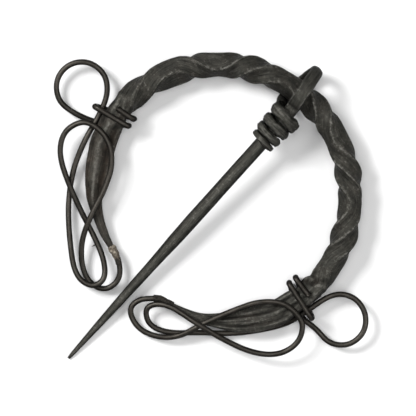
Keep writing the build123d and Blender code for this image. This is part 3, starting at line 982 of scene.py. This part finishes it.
class Finish:
    """A material whose nodes are added one by one, ending in one shader."""

    def __init__(self, name):
        self.material = bpy.data.materials.new(name)
        self.material.use_nodes = True
        self.tree = self.material.node_tree
        self.tree.nodes.clear()

    def node(self, kind, settings=None, inputs=None, output=0):
        """Add a node, give it its settings, then values or links to its sockets."""
        node = self.tree.nodes.new(kind)
        for name, value in (settings or {}).items():
            setattr(node, name, value)
        for name, value in (inputs or {}).items():
            if isinstance(value, Channel):
                self.tree.links.new(value.socket, node.inputs[name])
            else:
                node.inputs[name].default_value = value
        return Channel(self, node.outputs[output])

    def mix(self, factor, first, second):
        """One colour changing into another."""
        inputs = {0: factor}
        for socket, value in ((6, first), (7, second)):
            inputs[socket] = value if isinstance(value, Channel) else (*value, 1)
        return self.node("ShaderNodeMix", {"data_type": "RGBA"}, inputs, output=2)

    def attribute(self, name, output):
        """An attribute of the piece."""
        return self.node("ShaderNodeAttribute", {"attribute_name": name}, {}, output)

    def stretched(self, vector, scale):
        """A pattern's coordinates, stretched along their axes."""
        inputs = {0: vector, 1: scale}
        return self.node("ShaderNodeVectorMath", {"operation": "MULTIPLY"}, inputs)

    def in_millimetres(self):
        """The place on the piece, in millimetres."""
        place = self.node("ShaderNodeTexCoord", {}, {}, "Object")
        return self.stretched(place, (1 / MM,) * 3)

    def mottle(self, vector, scale, detail=3.0, rough=0.5):
        """Cloudy pattern from 0 to 1."""
        inputs = {"Vector": vector, "Scale": scale, "Detail": detail, "Roughness": rough}
        return self.node("ShaderNodeTexNoise", {}, inputs)

    def shader(self, colour, roughness, metallic, height, depth):
        """The metal's shader, with its relief as a bump."""
        relief = {"Height": height, "Strength": 1.0, "Distance": depth}
        inputs = {
            "Base Color": colour,
            "Roughness": roughness,
            "Metallic": metallic,
            "Normal": self.node("ShaderNodeBump", {}, relief),
            "Specular Tint": (*DARK_SHEEN, 1),
            "Specular IOR Level": DARK_GLOSS,
        }
        self.node_output(self.node("ShaderNodeBsdfPrincipled", {}, inputs))
        return self.material

    def node_output(self, shader):
        """Link the shader to the material's surface."""
        output = self.tree.nodes.new("ShaderNodeOutputMaterial")
        self.tree.links.new(shader.socket, output.inputs["Surface"])


def oiled_iron(name, rust_amount, rusty_stretch, streaks, polish):
    """Blackened, oiled iron: dark scale, worn edges, thin rust, marks along the bar, and painted
    light and shade over its relief.

    The rust is thickest on the first stretch of the bar, whose length is in millimetres.
    """
    tints = sizes("brooch_finish")
    finish = Finish(name)
    straight = finish.attribute("straight", "Vector")
    ridge = finish.attribute("ridge", "Fac")
    wear_and_shade = finish.attribute("wear_and_shade", "Fac")
    place = finish.in_millimetres()
    cloud = finish.mottle(place, 0.35, 4.0, 0.6)
    patch = finish.mottle(place, 1.3, 5.0, 0.65)
    pits = finish.mottle(place, 4.2, 4.0, 0.75)
    draw = finish.mottle(finish.stretched(straight, (0.12, 2.1, 2.1)), 1.4, 4.0, 0.7)
    along = finish.node("ShaderNodeSeparateXYZ", {}, {0: straight})
    rusty = 1 - along.clamped(rusty_stretch - 10, rusty_stretch + 4)
    flaked = (cloud * 0.55 + patch * 0.45 + ridge * 0.04).clamped(0.53, 0.63)
    speckle = pits - 0.5
    line = ridge * ridge * ridge * (patch * 0.6 - 0.07)
    wear = line + ridge * 0.10 + flaked * 0.10 + speckle * (flaked * 1.3 + 0.3)
    # Raised relief and the fronts of round bars are painted brighter here, partly wear and partly
    # painted highlight.
    wear = (wear + patch * 0.7 + draw * 0.35 + wear_and_shade * 0.14 + polish).clamped(0.64, 1.04)
    scale = patch * 0.5 + cloud * 0.4 + draw * 1.1 + speckle * (flaked * 1.6 + 0.25)
    # Hollows and the sides of round bars are painted towards the dark scale, as painted shade.
    scale = (scale + wear_and_shade * 0.24).clamped(0.71, 1.34)
    body = finish.mix(scale, tints.scale_dark, tints.iron)
    reddened = (cloud * 1.2 + draw * 0.4 + rusty * 0.1 - 0.35).clamped(0.35, 0.75)
    reddened = reddened * (rusty * 0.16 + rust_amount)
    body = finish.mix(reddened, body, tints.rust)
    colour = finish.mix(wear * 0.8, body, tints.worn)
    roughness = 0.38 - wear * 0.08 + pits * 0.14 - scale * 0.06
    height = pits * 0.6 + patch * 0.5 + draw * streaks
    return finish.shader(colour, roughness, wear * 0.3 + 0.6, height, 0.00022)


def drawn_iron_wire(name):
    """Brownish iron wire with dark scale, fine draw marks along it, and painted light and shade
    across it.
    """
    tints = sizes("brooch_finish")
    finish = Finish(name)
    straight = finish.attribute("straight", "Vector")
    wear_and_shade = finish.attribute("wear_and_shade", "Fac")
    place = finish.in_millimetres()
    cloud = finish.mottle(place, 0.3, 4.0, 0.6)
    pits = finish.mottle(place, 5.0, 4.0, 0.7)
    draw = finish.mottle(finish.stretched(straight, (0.12, 2.6, 2.6)), 1.5, 3.0, 0.6)
    # The wire's top is painted lighter, as a highlight, and its sides towards the dark scale, as
    # shade.
    scale = (cloud * 0.6 + draw * 0.5 + pits * 0.4 + wear_and_shade * 0.13).clamped(0.55, 0.95)
    colour = finish.mix(scale, tints.wire_dark, tints.wire)
    colour = finish.mix((pits + draw * 0.4).clamped(0.72, 0.95) * 0.35, colour, tints.worn)
    roughness = 0.40 + pits * 0.14 - draw * 0.10
    height = pits * 0.3 + draw * 0.7
    return finish.shader(colour, roughness, 0.8, height, 0.00008)


def brassy_braze(name, bare_end):
    """Braze, tan for its first millimetres and under dark scale from there on."""
    tints = sizes("brooch_finish")
    finish = Finish(name)
    along = finish.node("ShaderNodeSeparateXYZ", {}, {0: finish.attribute("straight", "Vector")})
    wear_and_shade = finish.attribute("wear_and_shade", "Fac")
    place = finish.in_millimetres()
    cloud = finish.mottle(place, 0.9, 4.0, 0.6)
    pits = finish.mottle(place, 4.0, 4.0, 0.7)
    # Raised lumps are painted brighter and freer of scale, and hollows darker, partly wear and
    # partly painted shade.
    scaled = (along * 0.6 - 0.6 * bare_end + cloud * 1.5 - wear_and_shade * 0.5 - 0.4).clamped(0.0, 0.5)
    dull = (pits * 1.1 + cloud * 0.8 - wear_and_shade * 0.4 + along * 0.13).clamped(0.85, 1.25)
    bare = finish.mix(dull, tints.braze, tints.tarnish)
    black = finish.mix(pits.clamped(0.4, 0.65), tints.wire_dark, tints.wire)
    colour = finish.mix(scaled, bare, black)
    roughness = 0.45 + pits * 0.2
    return finish.shader(colour, roughness, 0.45, pits + cloud, 0.00015)


def pale_floor(name, tint):
    """Matt pale floor, very slightly uneven so that it isn't one flat colour."""
    finish = Finish(name)
    place = finish.node("ShaderNodeTexCoord", {}, {}, "Object")
    cloud = finish.mottle(place, 6.0, 2.0, 0.5)
    colour = finish.mix(cloud * 0.02, tint, (1.0, 1.0, 1.0))
    shader = finish.node("ShaderNodeBsdfPrincipled", {}, {"Base Color": colour, "Roughness": 0.9})
    finish.node_output(shader)
    return finish.material


# Lights


def hang_panel(name, towards, distance, size, power):
    """Hang a square panel of light that faces the brooch from a direction."""
    light = bpy.data.lights.new(name, "AREA")
    light.energy = power
    light.size = size
    panel = bpy.data.objects.new(name, light)
    panel.location = VIEW_MIDDLE + towards.normalized() * distance
    panel.rotation_euler = towards.to_track_quat("Z", "Y").to_euler()
    panel.visible_camera = False
    bpy.context.scene.collection.objects.link(panel)


# Operators


class BROOCH_OT_hoop(bpy.types.Operator):
    """Draw the twisted hoop with its two leaves"""

    bl_idname = "brooch.hoop"
    bl_label = "Twisted hoop"

    def execute(self, context):
        stations = hoop_stations()
        piece = draw_bar("twisted_hoop", stations, HOOP_AROUND, hoop_place(), forge_marks)
        finish = oiled_iron(
            "oiled_iron", rust_amount=0.12, rusty_stretch=38.0, streaks=0.9, polish=0.0
        )
        finish_piece(piece, "hoop_body", "forged_bar", finish, "hoop")
        return {"FINISHED"}


class BROOCH_OT_scroll_wires(bpy.types.Operator):
    """Bend the two scroll wires with their round loops and bindings"""

    bl_idname = "brooch.scroll_wires"
    bl_label = "Scroll wires"

    def execute(self, context):
        finish = drawn_iron_wire("drawn_iron_wire")
        for side, name in ((-1, "left"), (1, "right")):
            line = smooth_line(scroll_route(side), WIRE_LINE_STEPS)
            stations = wire_stations(line, sizes("brooch_wire").diameter)
            piece = draw_bar(f"scroll_{name}", stations, WIRE_AROUND, hoop_place(), drawn_wire)
            finish_piece(piece, "hoop_body", "scroll_wire", finish, f"scroll_wire_{name}")
        burr = draw_bar("burr_left", burr_stations(), BURR_AROUND, hoop_place(), drawn_wire)
        finish_piece(burr, "hoop_body", "scroll_wire", finish)
        return {"FINISHED"}


class BROOCH_OT_braze(bpy.types.Operator):
    """Melt the beads of braze that hold the wires to the leaf tips"""

    bl_idname = "brooch.braze"
    bl_label = "Beads of braze"

    def execute(self, context):
        for side, name in ((-1, "left"), (1, "right")):
            finish = brassy_braze(f"brassy_braze_{name}", of_side(side, LEFT_BARE, RIGHT_BARE))
            stations = braze_stations(side)
            piece = draw_bar(f"braze_{name}", stations, BRAZE_AROUND, hoop_place(), melted)
            finish_piece(piece, "hoop_body", "scroll_wire", finish)
        return {"FINISHED"}


class BROOCH_OT_pin(bpy.types.Operator):
    """Draw the pin: shaft, strap round the bar and coil"""

    bl_idname = "brooch.pin"
    bl_label = "Pin"

    def execute(self, context):
        piece = draw_bar("forged_pin", pin_stations(), PIN_AROUND, pin_place(), forged_shaft)
        finish = oiled_iron(
            "oiled_pin_iron", rust_amount=0.03, rusty_stretch=-20.0, streaks=1.1, polish=-0.05
        )
        finish_piece(piece, "pin_body", "forged_pin", finish, "pin")
        return {"FINISHED"}


class BROOCH_OT_stage(bpy.types.Operator):
    """Lay the floor and set the lights and the camera"""

    bl_idname = "brooch.stage"
    bl_label = "Stage"

    def execute(self, context):
        scene, stage = context.scene, sizes("brooch_stage")
        scene.view_settings.view_transform = "Standard"
        ground = bmesh.new()
        bmesh.ops.create_grid(ground, x_segments=4, y_segments=4, size=FLOOR_REACH)
        floor = made_object("floor", ground)
        floor.data.materials.append(pale_floor("pale_floor", tuple(stage.floor)))

        world = bpy.data.worlds.new("white_room")
        world.use_nodes = True
        background = world.node_tree.nodes["Background"]
        background.inputs["Color"].default_value = (1, 1, 1, 1)
        background.inputs["Strength"].default_value = stage.room
        scene.world = world

        towards = KEY_WAY * cos(stage.key_height) + UP * sin(stage.key_height)
        hang_panel("key_light", towards, KEY_DISTANCE, stage.key_size, stage.key_power)
        hang_panel("top_light", UP, TOP_DISTANCE, TOP_SIZE, stage.top_power)
        hang_panel("side_light", SIDE_WAY, SIDE_DISTANCE, SIDE_SIZE, stage.side_power)

        lens = bpy.data.cameras.new("camera")
        lens.sensor_width = SENSOR
        lens.lens = SENSOR * VIEW_DISTANCE / VIEW_WIDTH
        camera = bpy.data.objects.new("camera", lens)
        camera.location = VIEW_MIDDLE + UP * VIEW_DISTANCE
        camera.rotation_euler = (0, 0, VIEW_TURN)
        scene.collection.objects.link(camera)
        scene.camera = camera
        return {"FINISHED"}


class BROOCH_PT_panel(bpy.types.Panel):
    """Lists the brooch's pieces and their sizes"""

    bl_label = "Penannular brooch"
    bl_idname = "BROOCH_PT_panel"
    bl_space_type = "VIEW_3D"
    bl_region_type = "UI"
    bl_category = "Brooch"

    def draw(self, context):
        for group, (kind, title) in GROUPS.items():
            box = self.layout.box()
            box.label(text=title)
            for name in kind.__annotations__:
                box.prop(getattr(context.scene, group), name)
        for operator in OPERATORS:
            self.layout.operator(operator.bl_idname)


GROUPS = {
    "brooch_hoop": (HoopSizes, "Hoop"),
    "brooch_wire": (WireSizes, "Scroll wires"),
    "brooch_pin": (PinSizes, "Pin"),
    "brooch_finish": (FinishColours, "Finishes"),
    "brooch_stage": (StageSettings, "Stage"),
}
OPERATORS = (
    BROOCH_OT_hoop,
    BROOCH_OT_scroll_wires,
    BROOCH_OT_braze,
    BROOCH_OT_pin,
    BROOCH_OT_stage,
)


def register():
    """Register the groups, the operators and the panel."""
    for group, (kind, _) in GROUPS.items():
        bpy.utils.register_class(kind)
        setattr(bpy.types.Scene, group, bpy.props.PointerProperty(type=kind))
    for kind in (*OPERATORS, BROOCH_PT_panel):
        bpy.utils.register_class(kind)


def unregister():
    """Take the panel, the operators and the groups away again."""
    for kind in (BROOCH_PT_panel, *reversed(OPERATORS)):
        bpy.utils.unregister_class(kind)
    for group, (kind, _) in reversed(GROUPS.items()):
        delattr(bpy.types.Scene, group)
        bpy.utils.unregister_class(kind)


def main():
    """Build every piece in order."""
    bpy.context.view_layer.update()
    register()
    bpy.ops.brooch.stage()
    bpy.ops.brooch.hoop()
    bpy.ops.brooch.scroll_wires()
    bpy.ops.brooch.braze()
    bpy.ops.brooch.pin()


if __name__ == "__main__":
    main()
